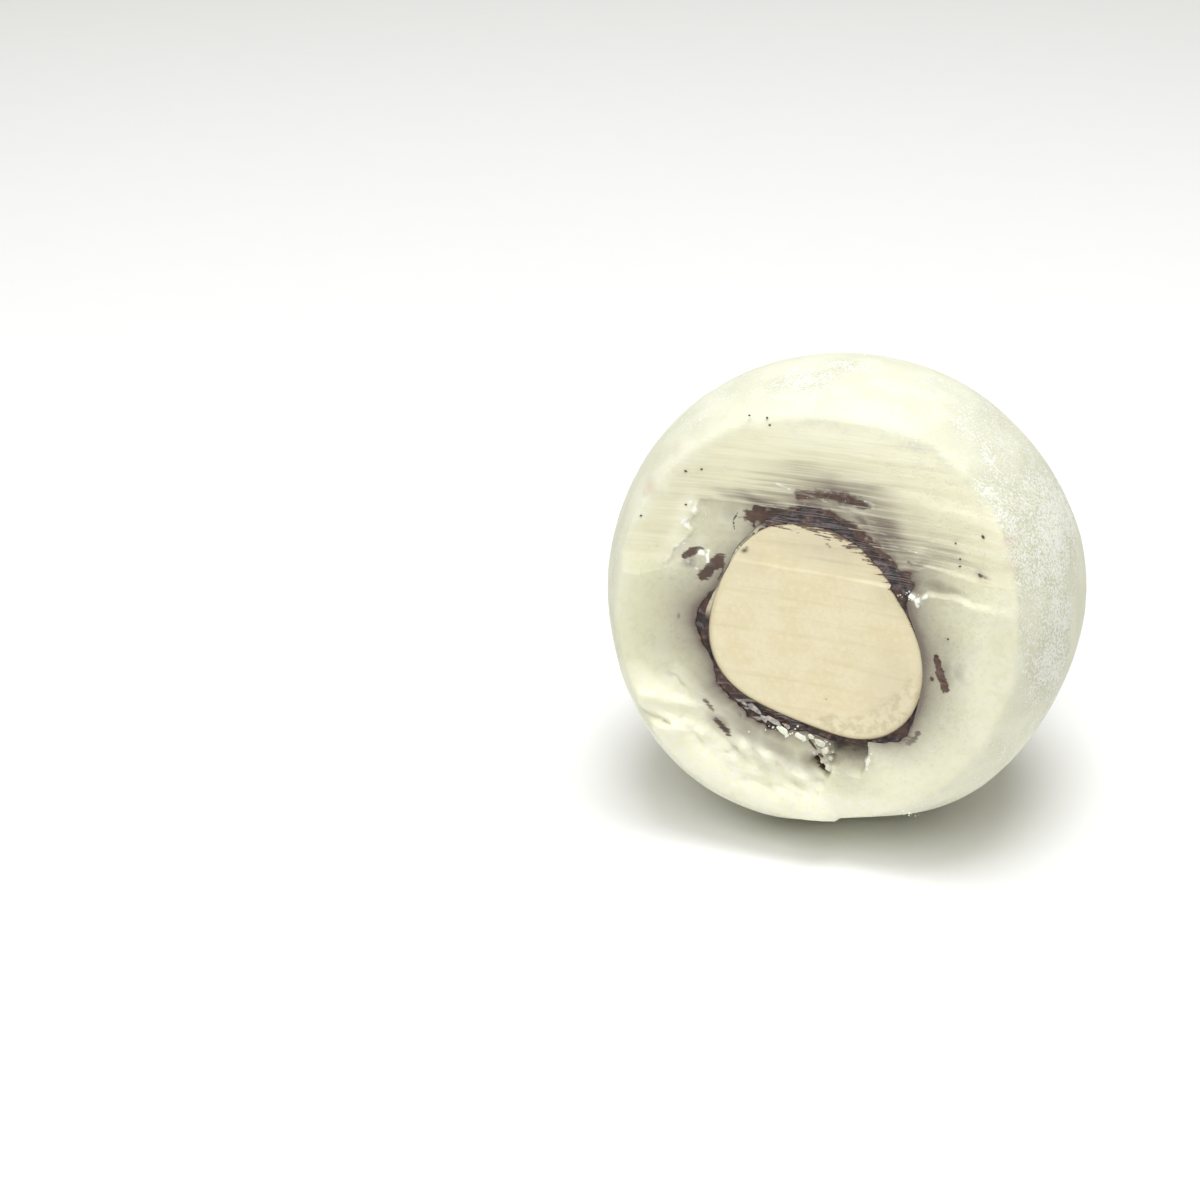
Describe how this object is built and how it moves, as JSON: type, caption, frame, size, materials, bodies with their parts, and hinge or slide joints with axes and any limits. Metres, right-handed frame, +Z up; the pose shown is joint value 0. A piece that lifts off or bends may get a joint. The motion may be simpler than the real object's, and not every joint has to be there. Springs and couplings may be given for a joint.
{
  "type": "white chocolate coated hazelnut",
  "caption": "Round hazelnut in a thick white chocolate coat, cut open at the front to show coat, brown skin and cream kernel.",
  "frame": {"origin": "centre of the bounding box's underside, on the surface that the ball rests on", "axes": "+Z up; the cut face looks along -Y and leans a few degrees upwards; +X is to the right of the cut as seen from the front"},
  "size_m": [0.024, 0.0204, 0.0233],
  "materials": {
    "white_chocolate": "matte ivory white chocolate, lightly dusted with white bloom outside, smoother and creamier on the cut",
    "nut_skin": "dark brown papery hazelnut skin, dull",
    "nut_kernel": "pale cream raw hazelnut, dull, with faint knife lines"
  },
  "bodies": {
    "root": {"white_chocolate_coat": "white_chocolate", "hazelnut_skin": "nut_skin", "hazelnut_kernel": "nut_kernel"}
  },
  "joints": []
}
